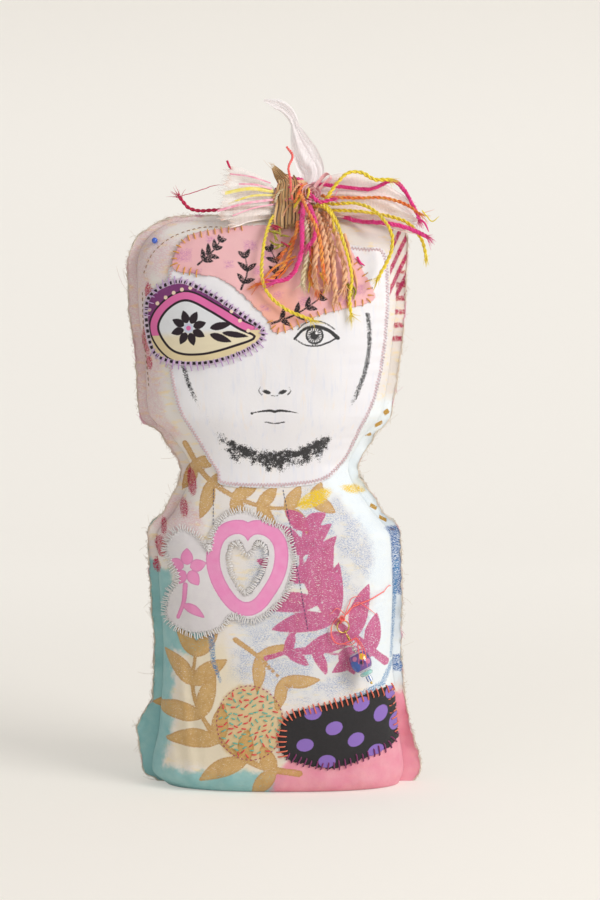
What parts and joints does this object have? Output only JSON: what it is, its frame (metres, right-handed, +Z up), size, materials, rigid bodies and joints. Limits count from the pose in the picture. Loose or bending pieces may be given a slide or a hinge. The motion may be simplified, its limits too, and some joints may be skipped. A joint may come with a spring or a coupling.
{
  "type": "cloth doll",
  "caption": "Stuffed cloth doll that stands on its flat base, with a broad head, a narrow neck, sewn patches, a swinging bead charm and a headdress of ribbons and loose yarn.",
  "frame": {"origin": "on the flat underside, on the front panel, below the middle of the neck", "axes": "+Z up, -Y towards the doll's face, +X to the right seen from the front"},
  "size_m": [0.1998, 0.096, 0.4623],
  "materials": {
    "painted_canvas": "painted canvas, matt",
    "fibre_filling": "loose polyester fibre",
    "white_cloth": "printed cotton, matt",
    "pink_cloth": "printed cotton, matt",
    "printed_cloth": "printed cotton, matt",
    "dotted_cloth": "dotted cotton, matt",
    "brass": "polished",
    "coral_thread": "twisted thread",
    "clear_glass": "clear, glossy",
    "painted_glass": "glossy, opaque colours",
    "aqua_glass": "glossy",
    "striped_glass": "glossy",
    "blue_glass": "glossy",
    "pin_steel": "bright",
    "peach_wool": "wool yarn",
    "striped_cloth": "woven, striped",
    "pink_silk": "silk ribbon",
    "sheer_ribbon": "sheer organza",
    "yellow_yarn": "twisted yarn",
    "pink_yarn": "twisted yarn",
    "crimson_yarn": "twisted yarn",
    "orange_yarn": "twisted yarn",
    "peach_yarn": "twisted yarn",
    "cream_yarn": "twisted yarn"
  },
  "bodies": {
    "doll": {"front_panel": "painted_canvas", "back_panel": "painted_canvas", "stuffing": "fibre_filling", "face_patch": "white_cloth", "applique_patch": "white_cloth", "forehead_patch": "pink_cloth", "teardrop_patch": "printed_cloth", "dot_patch": "dotted_cloth", "brass_ring": "brass", "coral_tie": "coral_thread", "coral_thread": "coral_thread", "coral_cord": "coral_thread", "pin_head": "blue_glass", "pin_shaft": "pin_steel", "headdress_knot": "peach_wool", "striped_strip": "striped_cloth", "silk_rosette": "pink_silk", "upright_ribbon": "sheer_ribbon", "ribbon_left": "sheer_ribbon", "ribbon_right": "sheer_ribbon", "yarn_yellow_brow": "yellow_yarn", "yarn_yellow_drop": "yellow_yarn", "yarn_yellow_far": "yellow_yarn", "yarn_yellow_front": "yellow_yarn", "yarn_yellow_high": "yellow_yarn", "yarn_pink_front": "pink_yarn", "yarn_pink_loop": "pink_yarn", "yarn_pink_high": "pink_yarn", "yarn_pink_far": "pink_yarn", "yarn_pink_left": "crimson_yarn", "yarn_orange_left": "orange_yarn", "yarn_orange_middle": "orange_yarn", "yarn_orange_right": "orange_yarn", "yarn_orange_far": "orange_yarn", "yarn_peach_1": "peach_yarn", "yarn_peach_2": "peach_yarn", "yarn_peach_3": "peach_yarn", "yarn_peach_4": "peach_yarn", "yarn_cream": "cream_yarn"},
    "charm": {"headpin": "brass", "clear_bead_upper": "clear_glass", "clear_bead_lower": "clear_glass", "glass_bead": "painted_glass", "disc_bead": "aqua_glass", "tube_bead": "striped_glass", "coral_loop": "coral_thread"}
  },
  "joints": [
    {"name": "charm_swing", "type": "hinge", "parent": "doll", "child": "charm", "pos_m": [0.04899, -0.0418, 0.1125], "axis": [-0.2544, 0.9671, 0], "range_deg": [-35, 35]}
  ]
}
